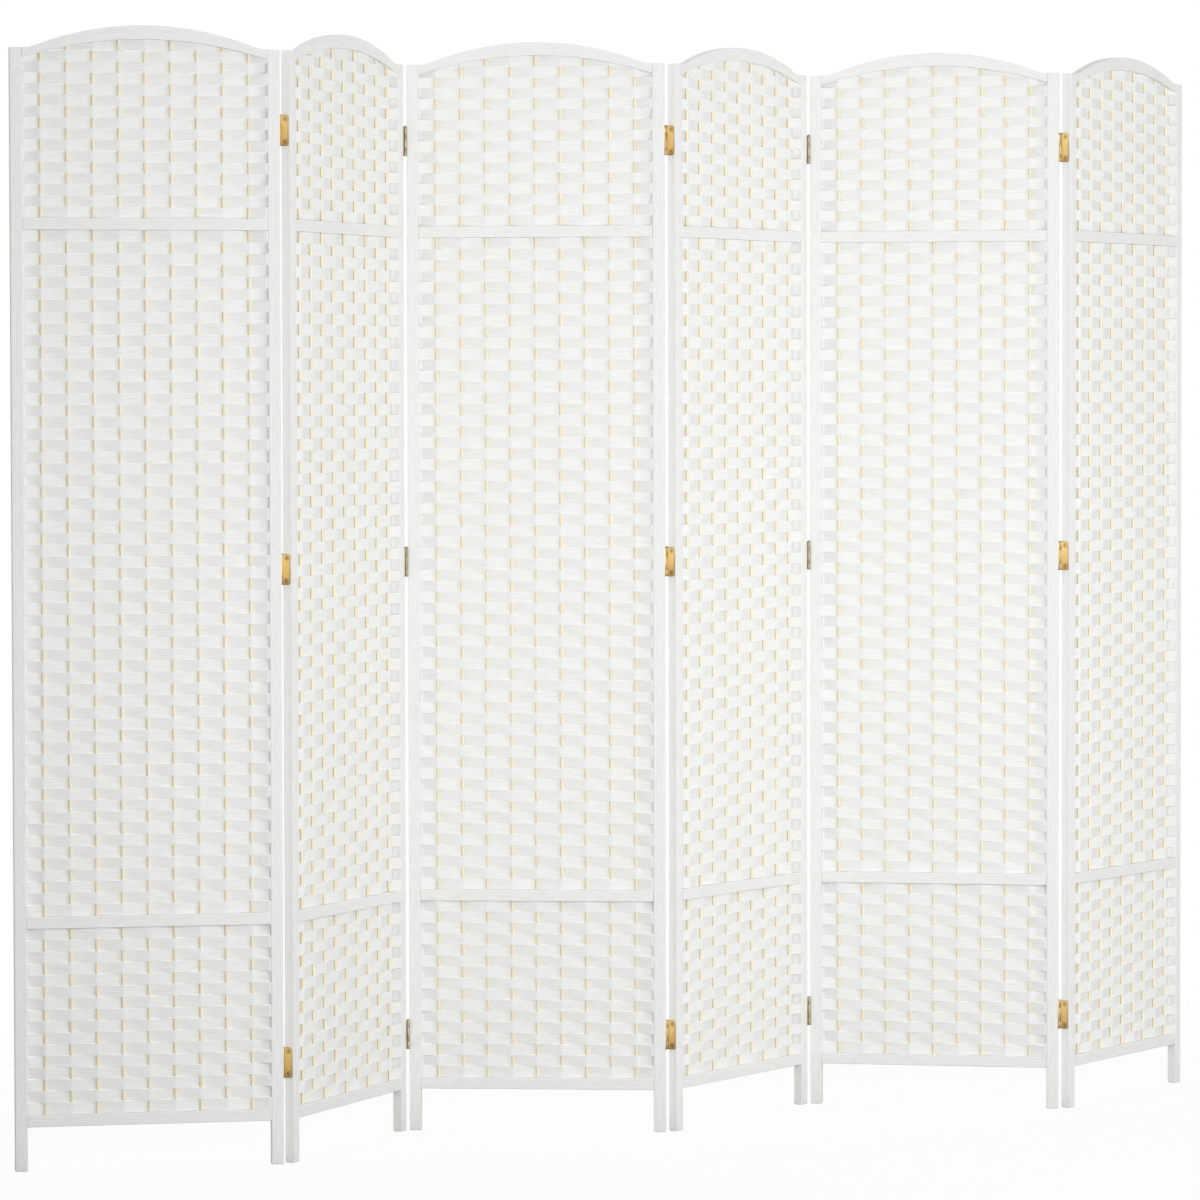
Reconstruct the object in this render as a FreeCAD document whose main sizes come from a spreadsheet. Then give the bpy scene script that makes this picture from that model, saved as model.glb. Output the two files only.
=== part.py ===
import FreeCAD, Part
import math
import os
import Sketcher

# Folding privacy screen: six woven panels with arched crowns, standing in a zigzag.
# Each panel has two stiles that run down into legs, a crown rail, two cross rails and a bottom rail.
# Nine round sticks stand in the rails, and flat strips weave round them from stile to stile.
# Brass butt hinges, three to a joint, carry each panel on its neighbour.
# Along the row is X, away from the front is Y, up is Z, and the legs stand on Z = 0.

lengths = {
    # panel outline
    "panel_width": 402.0,
    "shoulder_height": 1665.0,
    "frame_depth": 15.0,
    "stile_width": 18.5,
    "edge_round": 2.0,
    # rails, by their undersides, and the crown
    "rail_height": 18.0,
    "leg_height": 65.5,
    "lower_rail_level": 360.5,
    "upper_rail_drop": 269.0,
    "crown_rise": 34.0,
    "crown_end_height": 15.5,
    "crown_inner_rise": 28.5,
    "crown_end_run": 6.0,
    "crown_shoulder_radius": 60.0,
    # tenons of the rails in the stiles
    "tenon_length": 9.0,
    "tenon_thickness": 5.0,
    "tenon_shoulder": 3.0,
    "tenon_gap": 0.1,
    # sticks
    "stick_radius": 2.2,
    "stick_margin": 27.5,
    "stick_seat": 8.0,
    "stick_gap": 0.2,
    # woven strips and the two kerfs in each stile that hold their ends
    "strip_thickness": 1.0,
    "strip_row_gap": 0.4,
    "strip_stick_gap": 0.3,
    "strip_lead": 1.0,
    "kerf_wall": 2.5,
    "kerf_depth": 5.0,
    "kerf_gap": 0.2,
    # hinges
    "leaf_gap": 0.6,
    "hinge_height": 46.0,
    "hinge_top_drop": 119.0,
    "hinge_middle_level": 891.0,
    "hinge_bottom_level": 151.0,
    "leaf_thickness": 1.2,
    "leaf_margin": 2.5,
    "end_knuckle_height": 11.5,
    "knuckle_radius": 2.2,
    "knuckle_gap": 0.3,
    "pin_radius": 1.1,
    "pin_gap": 0.05,
    "pin_head_radius": 1.8,
    "pin_head_height": 0.8,
    # screws of the hinges
    "screw_inset": 6.0,
    "screw_radius": 1.3,
    "screw_head_radius": 2.5,
    "screw_length": 12.0,
    "screw_gap": 0.1,
    "slot_width": 0.7,
    "slot_depth": 0.6,
    # how far a cut runs past what it cuts
    "overrun": 2.0,
}

# turn at each joint as the screen stands, and the first panel's turn from the row
angles = {
    "first_heading": -18.5,
    "fold_1_2": 55.7,
    "fold_2_3": 71.4,
    "fold_3_4": 61.6,
    "fold_4_5": 67.7,
    "fold_5_6": 68.1,
}

stick_count = 9
leaf_names = ("bottom", "middle", "top")

# how far each screw slot of an edge stands turned from upright, in degrees
screw_turns = {
    ("bottom", "-"): 25, ("bottom", "+"): -40, ("middle", "-"): 70,
    ("middle", "+"): 10, ("top", "-"): -15, ("top", "+"): 50}

# rows of strips in the bottom, middle and top fields of each panel,
# and whether the lowest row of each field lets the odd sticks show
row_counts = {
    1: (16, 59, 16), 2: (16, 59, 16), 3: (16, 59, 16),
    4: (17, 59, 16), 5: (16, 59, 16), 6: (17, 59, 16)}
odd_first = {1: (1, 1, 1), 2: (1, 1, 1), 3: (1, 1, 0), 4: (1, 0, 1), 5: (1, 1, 0), 6: (1, 0, 1)}

formulas = {
    "half_width": "=panel_width / 2",
    "half_depth": "=frame_depth / 2",
    "inner_half": "=panel_width / 2 - stile_width",
    "inner_width": "=panel_width - 2 * stile_width",
    "upper_rail_level": "=shoulder_height - upper_rail_drop",
    "crown_low": "=shoulder_height - crown_end_height",
    "crown_inner_top": "=shoulder_height - crown_end_height + crown_inner_rise",
    "crown_inner_radius": "=(inner_half ^ 2 + crown_inner_rise ^ 2) / (2 * crown_inner_rise)",
    "crown_outer_radius": "=(inner_half ^ 2 + crown_rise ^ 2) / (2 * crown_rise) - crown_shoulder_radius",
    "stick_pitch": "=(panel_width - 2 * stile_width - 2 * stick_margin) / %d" % (stick_count - 1),
    "stick_foot": "=leg_height + rail_height - stick_seat",
    "strip_swing": "=stick_radius + strip_stick_gap + strip_thickness / 2",
    "kerf_width": "=strip_thickness + 2 * kerf_gap",
    "kerf_inner": "=frame_depth / 2 - kerf_wall - strip_thickness - 2 * kerf_gap",
    "kerf_middle": "=frame_depth / 2 - kerf_wall - strip_thickness / 2 - kerf_gap",
    "pin_across": "=panel_width / 2 + leaf_thickness + leaf_gap / 2",
    "pin_out": "=frame_depth / 2 + knuckle_radius",
    "leaf_reach": "=frame_depth - leaf_margin + knuckle_radius",
    "screw_reach": "=hinge_height / 2 - screw_inset",
    "hinge_top_level": "=shoulder_height - hinge_top_drop",
}

os.makedirs("parts", exist_ok=True)
doc = FreeCAD.newDocument("folding_screen")
sheet = doc.addObject("Spreadsheet::Sheet", "sizes")
rows = list(lengths.items()) + list(angles.items()) + list(formulas.items())
for line, (alias, entry) in enumerate(rows, start=1):
    sheet.set("A%d" % line, alias)
    sheet.set("B%d" % line, str(entry))
    sheet.setAlias("B%d" % line, alias)
doc.recompute()
size = {alias: float(sheet.get(alias)) for alias, entry in rows}


def bind(thing, **expressions):
    # ties the properties of an object to cells of the sheet; two underscores stand for a dot
    for name, text in expressions.items():
        thing.setExpression(name.replace("__", "."), text)


def cells(text):
    # an expression in aliases, with the sheet's name put before each
    out = []
    word = ""
    for letter in text + " ":
        if letter.isalnum() or letter == "_":
            word += letter
            continue
        out.append("sizes." + word if word in size else word)
        out.append(letter)
        word = ""
    return "".join(out).strip()


def value_of(text):
    return float(sheet.evalExpression(cells(text)))


def new_body(name):
    return doc.addObject("PartDesign::Body", name)


def new_sketch(body, role, name, offset=None):
    # a sketch on one of the body's own planes, moved along that plane's normal by offset
    plane = [f for f in body.Origin.OriginFeatures if f.Role == role][0]
    sketch = body.newObject("Sketcher::SketchObject", name)
    sketch.AttachmentSupport = [(plane, "")]
    sketch.MapMode = "FlatFace"
    if offset:
        bind(sketch, AttachmentOffset__Base__z=cells(offset))
    return sketch


def hold(sketch, kind, shape, vertex, text):
    # fixes a point's distance from the origin along one axis, whichever side it lies on
    value = value_of(text)
    if value == 0:
        axis = -2 if kind == "DistanceX" else -1
        sketch.addConstraint(Sketcher.Constraint("PointOnObject", shape, vertex, axis))
    elif value > 0:
        number = sketch.addConstraint(Sketcher.Constraint(kind, -1, 1, shape, vertex, value))
        sketch.setExpression("Constraints[%d]" % number, cells(text))
    else:
        number = sketch.addConstraint(Sketcher.Constraint(kind, shape, vertex, -1, 1, -value))
        sketch.setExpression("Constraints[%d]" % number, cells("-(%s)" % text))


def add_rectangle(sketch, left, right, low, high):
    x0, x1, y0, y1 = (value_of(text) for text in (left, right, low, high))
    corners = [FreeCAD.Vector(*xy, 0) for xy in ((x0, y0), (x1, y0), (x1, y1), (x0, y1))]
    first = sketch.GeometryCount
    for k in range(4):
        sketch.addGeometry(Part.LineSegment(corners[k], corners[(k + 1) % 4]))
    for k in range(4):
        sketch.addConstraint(Sketcher.Constraint("Coincident", first + k, 2, first + (k + 1) % 4, 1))
        kind = "Vertical" if k % 2 else "Horizontal"
        sketch.addConstraint(Sketcher.Constraint(kind, first + k))
    hold(sketch, "DistanceX", first, 1, left)
    hold(sketch, "DistanceY", first, 1, low)
    hold(sketch, "DistanceX", first + 2, 1, right)
    hold(sketch, "DistanceY", first + 2, 1, high)


def add_circle(sketch, across, up, radius):
    centre = FreeCAD.Vector(value_of(across), value_of(up), 0)
    shape = sketch.addGeometry(Part.Circle(centre, FreeCAD.Vector(0, 0, 1), value_of(radius)))
    number = sketch.addConstraint(Sketcher.Constraint("Radius", shape, value_of(radius)))
    sketch.setExpression("Constraints[%d]" % number, cells(radius))
    hold(sketch, "DistanceX", shape, 3, across)
    hold(sketch, "DistanceY", shape, 3, up)


def pad(body, sketch, name, length, middle=False):
    feature = body.newObject("PartDesign::Pad", name)
    feature.Profile = sketch
    feature.Midplane = middle
    bind(feature, Length=cells(length))
    doc.recompute()
    return feature


def pocket(body, sketch, name, length, turned=False):
    # a cut that removes nothing points the wrong way, and is a fault
    before = body.Shape.Volume
    feature = body.newObject("PartDesign::Pocket", name)
    feature.Profile = sketch
    feature.Reversed = turned
    bind(feature, Length=cells(length))
    doc.recompute()
    if not body.Shape.Volume < before:
        raise RuntimeError("nothing cut by " + name)
    return feature


def fillet(body, feature, name, chosen):
    names = ["Edge%d" % n for n, edge in enumerate(feature.Shape.Edges, start=1) if chosen(edge)]
    rounded = body.newObject("PartDesign::Fillet", name)
    rounded.Base = (feature, names)
    bind(rounded, Radius=cells("edge_round"))
    doc.recompute()
    return rounded


def primitive(kind, name, place, turn=None, **expressions):
    # a plain solid whose sizes and place come from the sheet
    thing = doc.addObject("Part::" + kind, name)
    if turn:
        thing.Placement = FreeCAD.Placement(FreeCAD.Vector(), turn)
    for axis, text in zip("xyz", place):
        thing.setExpression("Placement.Base." + axis, cells(text))
    for key, text in expressions.items():
        thing.setExpression(key, cells(text))
    return thing


def cut(name, base, tool):
    thing = doc.addObject("Part::Cut", name)
    thing.Base = base
    thing.Tool = tool
    return thing


def fuse(name, shapes):
    thing = doc.addObject("Part::MultiFuse", name)
    thing.Shapes = shapes
    return thing


def group(name, links):
    thing = doc.addObject("Part::Compound", name)
    thing.Links = links
    return thing


half_turn = FreeCAD.Rotation(FreeCAD.Vector(0, 0, 1), 180)
along_x = FreeCAD.Rotation(FreeCAD.Vector(0, 1, 0), 90)


def turned(name, thing):
    # the same piece on the panel's other edge, turned half round about the panel's upright middle line
    copy = group(name, [thing])
    copy.Placement = FreeCAD.Placement(FreeCAD.Vector(), half_turn)
    return copy


hinge_levels = {"bottom": "hinge_bottom_level", "middle": "hinge_middle_level", "top": "hinge_top_level"}
rail_levels = {"bottom": "leg_height", "lower": "lower_rail_level", "upper": "upper_rail_level"}


def make_stile(name, hinged):
    # inner face on the YZ plane, outer edge towards +X
    body = new_body(name)
    outline = new_sketch(body, "XY_Plane", name + "_outline")
    add_rectangle(outline, "0", "stile_width", "-half_depth", "half_depth")
    bar = pad(body, outline, name + "_bar", "shoulder_height")
    fillet(body, bar, name + "_rounding", lambda edge: True)
    mortises = new_sketch(body, "YZ_Plane", name + "_mortise_outline")
    side = "tenon_thickness / 2 + tenon_gap"
    for level in rail_levels.values():
        low = level + " + tenon_shoulder - tenon_gap"
        high = level + " + rail_height - tenon_shoulder + tenon_gap"
        add_rectangle(mortises, "-(%s)" % side, side, low, high)
    low = "crown_low + tenon_shoulder - tenon_gap"
    high = "shoulder_height - tenon_shoulder + tenon_gap"
    add_rectangle(mortises, "-(%s)" % side, side, low, high)
    pocket(body, mortises, name + "_mortises", "tenon_length + tenon_gap", turned=True)
    kerfs = new_sketch(body, "YZ_Plane", name + "_kerf_outline")
    inner, outer = "kerf_inner", "kerf_inner + kerf_width"
    low, high = "leg_height + rail_height", "crown_low"
    add_rectangle(kerfs, inner, outer, low, high)
    add_rectangle(kerfs, "-(%s)" % outer, "-(%s)" % inner, low, high)
    pocket(body, kerfs, name + "_kerfs", "kerf_depth", turned=True)
    if hinged:
        pilots = new_sketch(body, "YZ_Plane", name + "_pilot_outline", "stile_width")
        for level in hinge_levels.values():
            for sign in "-+":
                add_circle(pilots, "0", "%s %s screw_reach" % (level, sign), "screw_radius + screw_gap")
        pocket(body, pilots, name + "_pilots", "screw_length + screw_gap")
    bind(body, Placement__Base__x=cells("inner_half"))
    return body


def along(edge):
    # the edges that run the length of a rail
    direction = edge.tangentAt(edge.FirstParameter)
    return abs(direction.x) > 0.5


def make_rail(name, level):
    body = new_body(name)
    outline = new_sketch(body, "YZ_Plane", name + "_outline")
    add_rectangle(outline, "-half_depth", "half_depth", "0", "rail_height")
    bar = pad(body, outline, name + "_bar", "inner_width", middle=True)
    fillet(body, bar, name + "_rounding", along)
    tenons = new_sketch(body, "YZ_Plane", name + "_tenon_outline")
    side = "tenon_thickness / 2"
    add_rectangle(tenons, "-(%s)" % side, side, "tenon_shoulder", "rail_height - tenon_shoulder")
    pad(body, tenons, name + "_tenons", "inner_width + 2 * tenon_length", middle=True)
    bind(body, Placement__Base__z=cells(level))
    return body


def make_crown():
    # flat shoulders sweep up through a hollow curve into one round arch;
    # the inner edge is a plain arc that runs out straight at its ends
    body = new_body("crown_blank")
    outline = new_sketch(body, "XZ_Plane", "crown_outline")
    reach, shoulder, hollow = size["inner_half"], size["shoulder_height"], size["crown_shoulder_radius"]
    arch, inside = size["crown_outer_radius"], size["crown_inner_radius"]
    bend = reach - size["crown_end_run"]
    arch_centre = FreeCAD.Vector(0, shoulder + size["crown_rise"] - arch, 0)
    inside_centre = FreeCAD.Vector(0, size["crown_inner_top"] - inside, 0)
    up = FreeCAD.Vector(0, 0, 1)
    spread = math.atan2(reach, shoulder + hollow - arch_centre.y)
    sweep = math.asin(bend / inside)
    bend_level = inside_centre.y + inside * math.cos(sweep)
    low = bend_level - size["crown_end_run"] * math.tan(sweep)
    quarter = math.pi / 2

    def line(x0, y0, x1, y1):
        return outline.addGeometry(Part.LineSegment(FreeCAD.Vector(x0, y0, 0), FreeCAD.Vector(x1, y1, 0)))

    def arc(centre, radius, start, end):
        return outline.addGeometry(Part.ArcOfCircle(Part.Circle(centre, up, radius), start, end))

    right_end = line(reach, low, reach, shoulder)
    right_hollow = arc(FreeCAD.Vector(reach, shoulder + hollow, 0), hollow, 3 * quarter - spread, 3 * quarter)
    crest = arc(arch_centre, arch, quarter - spread, quarter + spread)
    left_hollow = arc(FreeCAD.Vector(-reach, shoulder + hollow, 0), hollow, 3 * quarter, 3 * quarter + spread)
    left_end = line(-reach, shoulder, -reach, low)
    left_run = line(-reach, low, -bend, bend_level)
    under = arc(inside_centre, inside, quarter - sweep, quarter + sweep)
    right_run = line(bend, bend_level, reach, low)
    rules = [
        ("Coincident", right_end, 2, right_hollow, 2),
        ("Tangent", right_hollow, 1, crest, 1),
        ("Tangent", crest, 2, left_hollow, 2),
        ("Coincident", left_hollow, 1, left_end, 1),
        ("Coincident", left_end, 2, left_run, 1),
        ("Tangent", left_run, 2, under, 2),
        ("Tangent", under, 1, right_run, 1),
        ("Coincident", right_run, 2, right_end, 1),
        ("Vertical", right_end),
        ("Vertical", left_end),
        ("Vertical", right_hollow, 2, right_hollow, 3),
        ("Vertical", left_hollow, 1, left_hollow, 3),
        ("PointOnObject", crest, 3, -2),
        ("PointOnObject", under, 3, -2),
        ("Horizontal", right_end, 2, left_end, 1),
    ]
    for rule in rules:
        outline.addConstraint(Sketcher.Constraint(*rule))
    for shape, alias in ((right_hollow, "crown_shoulder_radius"), (under, "crown_inner_radius")):
        number = outline.addConstraint(Sketcher.Constraint("Radius", shape, size[alias]))
        outline.setExpression("Constraints[%d]" % number, cells(alias))
    hold(outline, "DistanceX", right_end, 2, "inner_half")
    hold(outline, "DistanceX", left_end, 1, "-inner_half")
    hold(outline, "DistanceY", right_end, 2, "shoulder_height")
    hold(outline, "DistanceX", under, 1, "inner_half - crown_end_run")
    hold(outline, "DistanceX", under, 2, "-(inner_half - crown_end_run)")
    hold(outline, "DistanceY", crest, 3, "shoulder_height + crown_rise - crown_outer_radius")
    hold(outline, "DistanceY", under, 3, "crown_inner_top - crown_inner_radius")
    board = pad(body, outline, "crown_board", "frame_depth", middle=True)
    rim = size["half_depth"]

    def on_face(edge):
        # the edges that run along the front and back faces
        return along(edge) and abs(abs(edge.CenterOfMass.y) - rim) < 1e-6 * rim

    fillet(body, board, "crown_rounding", on_face)
    tenon = new_sketch(body, "YZ_Plane", "crown_tenon_outline", "inner_half")
    side = "tenon_thickness / 2"
    add_rectangle(
        tenon, "-(%s)" % side, side, "crown_low + tenon_shoulder", "shoulder_height - tenon_shoulder")
    right = pad(body, tenon, "crown_tenon", "tenon_length")
    both = body.newObject("PartDesign::Mirrored", "crown_tenons")
    both.Originals = [right]
    plane = [f for f in body.Origin.OriginFeatures if f.Role == "YZ_Plane"][0]
    both.MirrorPlane = (plane, [""])
    body.Tip = both
    doc.recompute()
    return body


def stick_place(number):
    return "stick_margin + %d * stick_pitch - inner_half" % number


def stick_top(number):
    # the inner arc of the crown above the stick, and the stick's depth in it
    place = stick_place(number)
    arc = "crown_inner_top - crown_inner_radius + sqrt(crown_inner_radius ^ 2 - (%s) ^ 2)" % place
    return arc + " + stick_seat - stick_foot"


def make_sticks():
    # the sticks, and the bores that take them, a little wider and deeper
    sticks = []
    bores = []
    for number in range(stick_count):
        place = (stick_place(number), "0", "stick_foot")
        top = stick_top(number)
        sticks.append(primitive("Cylinder", "stick_%d" % number, place, Radius="stick_radius", Height=top))
        bores.append(primitive(
            "Cylinder", "stick_bore_%d" % number, place,
            Radius="stick_radius + stick_gap", Height=top + " + stick_gap"))
    return group("sticks", sticks), group("stick_bores", bores)


def make_leaf(name, level, outer):
    # a leaf on the right-hand edge; the outer one has the end knuckles and its pin behind the panel,
    # the other has the middle knuckle and its pin before the panel
    base = "%s - hinge_height / 2" % level
    back = "half_depth - frame_depth + leaf_margin" if outer else "-pin_out"
    pin = "pin_out" if outer else "-pin_out"
    plate = primitive(
        "Box", name + "_plate", ("half_width", back, base),
        Length="leaf_thickness", Width="leaf_reach", Height="hinge_height")
    first, last, top = "end_knuckle_height", "hinge_height - end_knuckle_height", "hinge_height"
    if outer:
        own = [("0", first), (last, top)]
        other = [(first, last)]
    else:
        low, high = first + " + knuckle_gap", last + " - knuckle_gap"
        own = [(low, high)]
        other = [("-overrun", low), (high, top + " + overrun")]

    def barrels(label, spans, radius):
        return [primitive(
            "Cylinder", "%s_%s_%d" % (name, label, n), ("pin_across", pin, "%s + %s" % (base, low)),
            Radius=radius, Height="%s - (%s)" % (high, low)) for n, (low, high) in enumerate(spans)]

    knuckles = barrels("knuckle", own, "knuckle_radius")
    spaces = barrels("space", other, "knuckle_radius + knuckle_gap")
    notched = cut(name + "_notched", plate, group(name + "_spaces", spaces))
    blank = fuse(name + "_blank", [notched] + knuckles)
    holes = [primitive(
        "Cylinder", name + "_bore", ("pin_across", pin, base + " - overrun"),
        Radius="pin_radius + pin_gap", Height="hinge_height + 2 * overrun")]
    for n, sign in enumerate("-+"):
        place = ("half_width", "0", "%s %s screw_reach" % (level, sign))
        holes.append(primitive(
            "Cone", "%s_hole_%d" % (name, n), place, along_x,
            Radius1="screw_radius + screw_gap", Radius2="screw_head_radius + screw_gap",
            Height="leaf_thickness"))
    return cut(name, blank, group(name + "_holes", holes))


def make_screw():
    # a countersunk screw that points inwards along X, with a slot across its head
    shank = primitive(
        "Cylinder", "screw_shank", ("-screw_length", "0", "0"), along_x,
        Radius="screw_radius", Height="screw_length")
    head = primitive(
        "Cone", "screw_head", ("0", "0", "0"), along_x,
        Radius1="screw_radius", Radius2="screw_head_radius", Height="leaf_thickness")
    slot = primitive(
        "Box", "screw_slot",
        ("leaf_thickness - slot_depth", "-slot_width / 2", "-screw_head_radius - overrun"),
        Length="slot_depth + overrun", Width="slot_width", Height="2 * (screw_head_radius + overrun)")
    return cut("screw", fuse("screw_blank", [shank, head]), slot)


def place_screws(screw, name, level):
    # each screw was driven home to a different turn of its slot
    placed = []
    for n, sign in enumerate("-+"):
        copy = group("screw_%s_%d" % (name, n), [screw])
        turn = screw_turns[name, sign]
        copy.Placement = FreeCAD.Placement(FreeCAD.Vector(), FreeCAD.Rotation(FreeCAD.Vector(1, 0, 0), turn))
        height = cells("%s %s screw_reach" % (level, sign))
        bind(copy, Placement__Base__x=cells("half_width"), Placement__Base__z=height)
        placed.append(copy)
    return placed


def make_pin(name, level):
    shaft = primitive(
        "Cylinder", name + "_shaft", ("pin_across", "pin_out", "%s - hinge_height / 2" % level),
        Radius="pin_radius", Height="hinge_height")
    head = primitive(
        "Cylinder", name + "_head", ("pin_across", "pin_out", "%s + hinge_height / 2" % level),
        Radius="pin_head_radius", Height="pin_head_height")
    return fuse(name, [shaft, head])


def strip_path(odd_shows):
    # the line of one strip in plan, from kerf to kerf: where a stick shows, the strip passes behind it,
    # and the stiles take the turn of one more stick at either end
    swing, edge = size["strip_swing"], size["kerf_middle"]
    mouth = size["inner_half"]
    end = mouth + size["kerf_depth"] - size["kerf_gap"]
    side = [-1 if (n % 2 == 0) != odd_shows else 1 for n in range(-1, stick_count + 1)]
    lead = size["strip_lead"]
    points = [(-end, side[0] * edge), (lead - mouth, side[0] * edge)]
    for n in range(stick_count):
        points.append((size["stick_margin"] + n * size["stick_pitch"] - mouth, side[n + 1] * swing))
    points += [(mouth - lead, side[-1] * edge), (end, side[-1] * edge)]
    return points


def make_strip(points, low, high):
    half = size["strip_thickness"] / 2
    ring = [FreeCAD.Vector(x, y - half, low) for x, y in points]
    ring += [FreeCAD.Vector(x, y + half, low) for x, y in reversed(points)]
    face = Part.Face(Part.makePolygon(ring + ring[:1]))
    return face.extrude(FreeCAD.Vector(0, 0, high - low))


def space_under_crown():
    # what the topmost strips may fill: up to the crown's inner arc, and no higher than its ends in the kerfs
    gap, deep = size["strip_row_gap"] / 2, size["frame_depth"]
    reach, inner = size["half_width"], size["inner_half"]
    low, end, top = size["upper_rail_level"], size["crown_low"] - gap, size["crown_inner_top"] - gap
    spots = [(inner, end), (reach, end), (reach, low), (-reach, low), (-reach, end), (-inner, end)]
    spots = [FreeCAD.Vector(x, -deep, z) for x, z in spots]
    edges = [Part.LineSegment(a, b).toShape() for a, b in zip(spots, spots[1:])]
    edges.append(Part.Arc(spots[-1], FreeCAD.Vector(0, -deep, top), spots[0]).toShape())
    return Part.Face(Part.Wire(edges)).extrude(FreeCAD.Vector(0, 2 * deep, 0))


fields = {
    "bottom": (size["leg_height"] + size["rail_height"], size["lower_rail_level"]),
    "middle": (size["lower_rail_level"] + size["rail_height"], size["upper_rail_level"]),
    "top": (size["upper_rail_level"] + size["rail_height"], size["crown_inner_top"]),
}
woven = {}


def weave(field, count, odd_shows):
    # all strips of one field between two rails, made once for each way that it is woven
    key = "weave_%s_%d_%s" % (field, count, "odd" if odd_shows else "even")
    if key in woven:
        return woven[key]
    low, high = fields[field]
    pitch = (high - low) / count
    gap = size["strip_row_gap"] / 2
    strips = []
    for row in range(count):
        points = strip_path(odd_shows == (row % 2 == 0))
        strip = make_strip(points, low + row * pitch + gap, low + (row + 1) * pitch - gap)
        if field == "top" and low + (row + 1) * pitch > size["crown_low"]:
            strip = strip.common(space_under_crown()).Solids[0]
        strips.append(strip)
    thing = doc.addObject("Part::Feature", key)
    thing.Shape = Part.makeCompound(strips)
    woven[key] = thing
    return thing


hinged_stile = make_stile("hinged_stile", True)
plain_stile = make_stile("plain_stile", False)
sticks, bores = make_sticks()
rails = {n: cut(n + "_rail", make_rail(n + "_rail_blank", level), bores) for n, level in rail_levels.items()}
crown = cut("crown", make_crown(), bores)
outer_leaves = group("outer_leaves", [make_leaf("outer_" + n, hinge_levels[n], True) for n in leaf_names])
inner_leaves = group("inner_leaves", [make_leaf("inner_" + n, hinge_levels[n], False) for n in leaf_names])
screw = make_screw()
screws = group("screws", [s for n in leaf_names for s in place_screws(screw, n, hinge_levels[n])])
pins = group("pins", [make_pin("pin_" + n, hinge_levels[n]) for n in leaf_names])
left_hinged_stile = turned("left_hinged_stile", hinged_stile)
left_plain_stile = turned("left_plain_stile", plain_stile)
left_outer_leaves = turned("left_outer_leaves", outer_leaves)
left_inner_leaves = turned("left_inner_leaves", inner_leaves)
left_screws = turned("left_screws", screws)
left_pins = turned("left_pins", pins)

# where each panel stands in plan: its middle and its heading, found by walking along the row from pin to pin
panel_count = len(row_counts)
headings = {1: size["first_heading"]}
middles = {1: FreeCAD.Vector()}
pivots = {}
for k in range(1, panel_count):
    side = 1 if k % 2 else -1
    here = FreeCAD.Rotation(FreeCAD.Vector(0, 0, 1), headings[k])
    headings[k + 1] = headings[k] + side * size["fold_%d_%d" % (k, k + 1)]
    there = FreeCAD.Rotation(FreeCAD.Vector(0, 0, 1), headings[k + 1])
    right_pin = FreeCAD.Vector(size["pin_across"], side * size["pin_out"], 0)
    left_pin = FreeCAD.Vector(-size["pin_across"], side * size["pin_out"], 0)
    pivots[k] = middles[k] + here.multVec(right_pin)
    middles[k + 1] = pivots[k] - there.multVec(left_pin)

nodes = []


def add_node(panel, label, links):
    thing = group("panel_%d_%s" % (panel, label), links)
    thing.Label = "panel_%d_%s" % (panel, label)
    nodes.append((panel, thing))


for k in range(1, panel_count + 1):
    first, last = k == 1, k == panel_count
    leaves, left_leaves = (outer_leaves, left_outer_leaves) if k % 2 else (inner_leaves, left_inner_leaves)
    add_node(k, "left_stile", [left_plain_stile if first else left_hinged_stile])
    add_node(k, "right_stile", [plain_stile if last else hinged_stile])
    add_node(k, "crown_rail", [crown])
    add_node(k, "cross_rails", [rails["lower"], rails["upper"]])
    add_node(k, "bottom_rail", [rails["bottom"]])
    add_node(k, "sticks", [sticks])
    add_node(k, "strips", [weave(f, c, bool(o)) for f, c, o in zip(fields, row_counts[k], odd_first[k])])
    add_node(k, "hinge_leaves", ([] if first else [left_leaves]) + ([] if last else [leaves]))
    add_node(k, "hinge_screws", ([] if first else [left_screws]) + ([] if last else [screws]))
    if k % 2:
        add_node(k, "hinge_pins", ([] if first else [left_pins]) + ([] if last else [pins]))
doc.recompute()

# the middle of the standing screen's outline goes over the origin
boxes = []
for k, thing in nodes:
    if thing.Label.endswith("_stile"):
        copy = thing.Shape.copy()
        turn = FreeCAD.Rotation(FreeCAD.Vector(0, 0, 1), headings[k])
        copy.Placement = FreeCAD.Placement(middles[k], turn)
        boxes.append(copy.optimalBoundingBox(False, False))
shift = FreeCAD.Vector(
    -(min(b.XMin for b in boxes) + max(b.XMax for b in boxes)) / 2,
    -(min(b.YMin for b in boxes) + max(b.YMax for b in boxes)) / 2,
    0)
for k, thing in nodes:
    turn = FreeCAD.Rotation(FreeCAD.Vector(0, 0, 1), headings[k])
    thing.Placement = FreeCAD.Placement(middles[k] + shift, turn)
doc.recompute()

for thing in doc.Objects:
    if "Invalid" in thing.State or "Error" in thing.State:
        raise RuntimeError("failed: " + thing.Name)
# a piece that several panels share is tested once
sound = set()
for k, thing in nodes:
    for piece in thing.Links:
        if piece.Name not in sound and not piece.Shape.isValid():
            raise RuntimeError("bad shape: " + piece.Name)
        sound.add(piece.Name)
    if thing.Shape.isNull() or not thing.Shape.Solids:
        raise RuntimeError("empty: " + thing.Label)
for k, thing in nodes:
    thing.Shape.exportStep("parts/%s.step" % thing.Label)
for k, place in pivots.items():
    print("pin %d-%d at %.4f %.4f" % (k, k + 1, place.x + shift.x, place.y + shift.y))
for k in middles:
    spot = middles[k] + shift
    print("panel %d middle %.4f %.4f heading %.2f" % (k, spot.x, spot.y, headings[k]))
print("nodes", len(nodes), "solids", sum(len(thing.Shape.Solids) for k, thing in nodes))
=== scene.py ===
import math

import bpy
import numpy as np
from mathutils import Matrix


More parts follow.
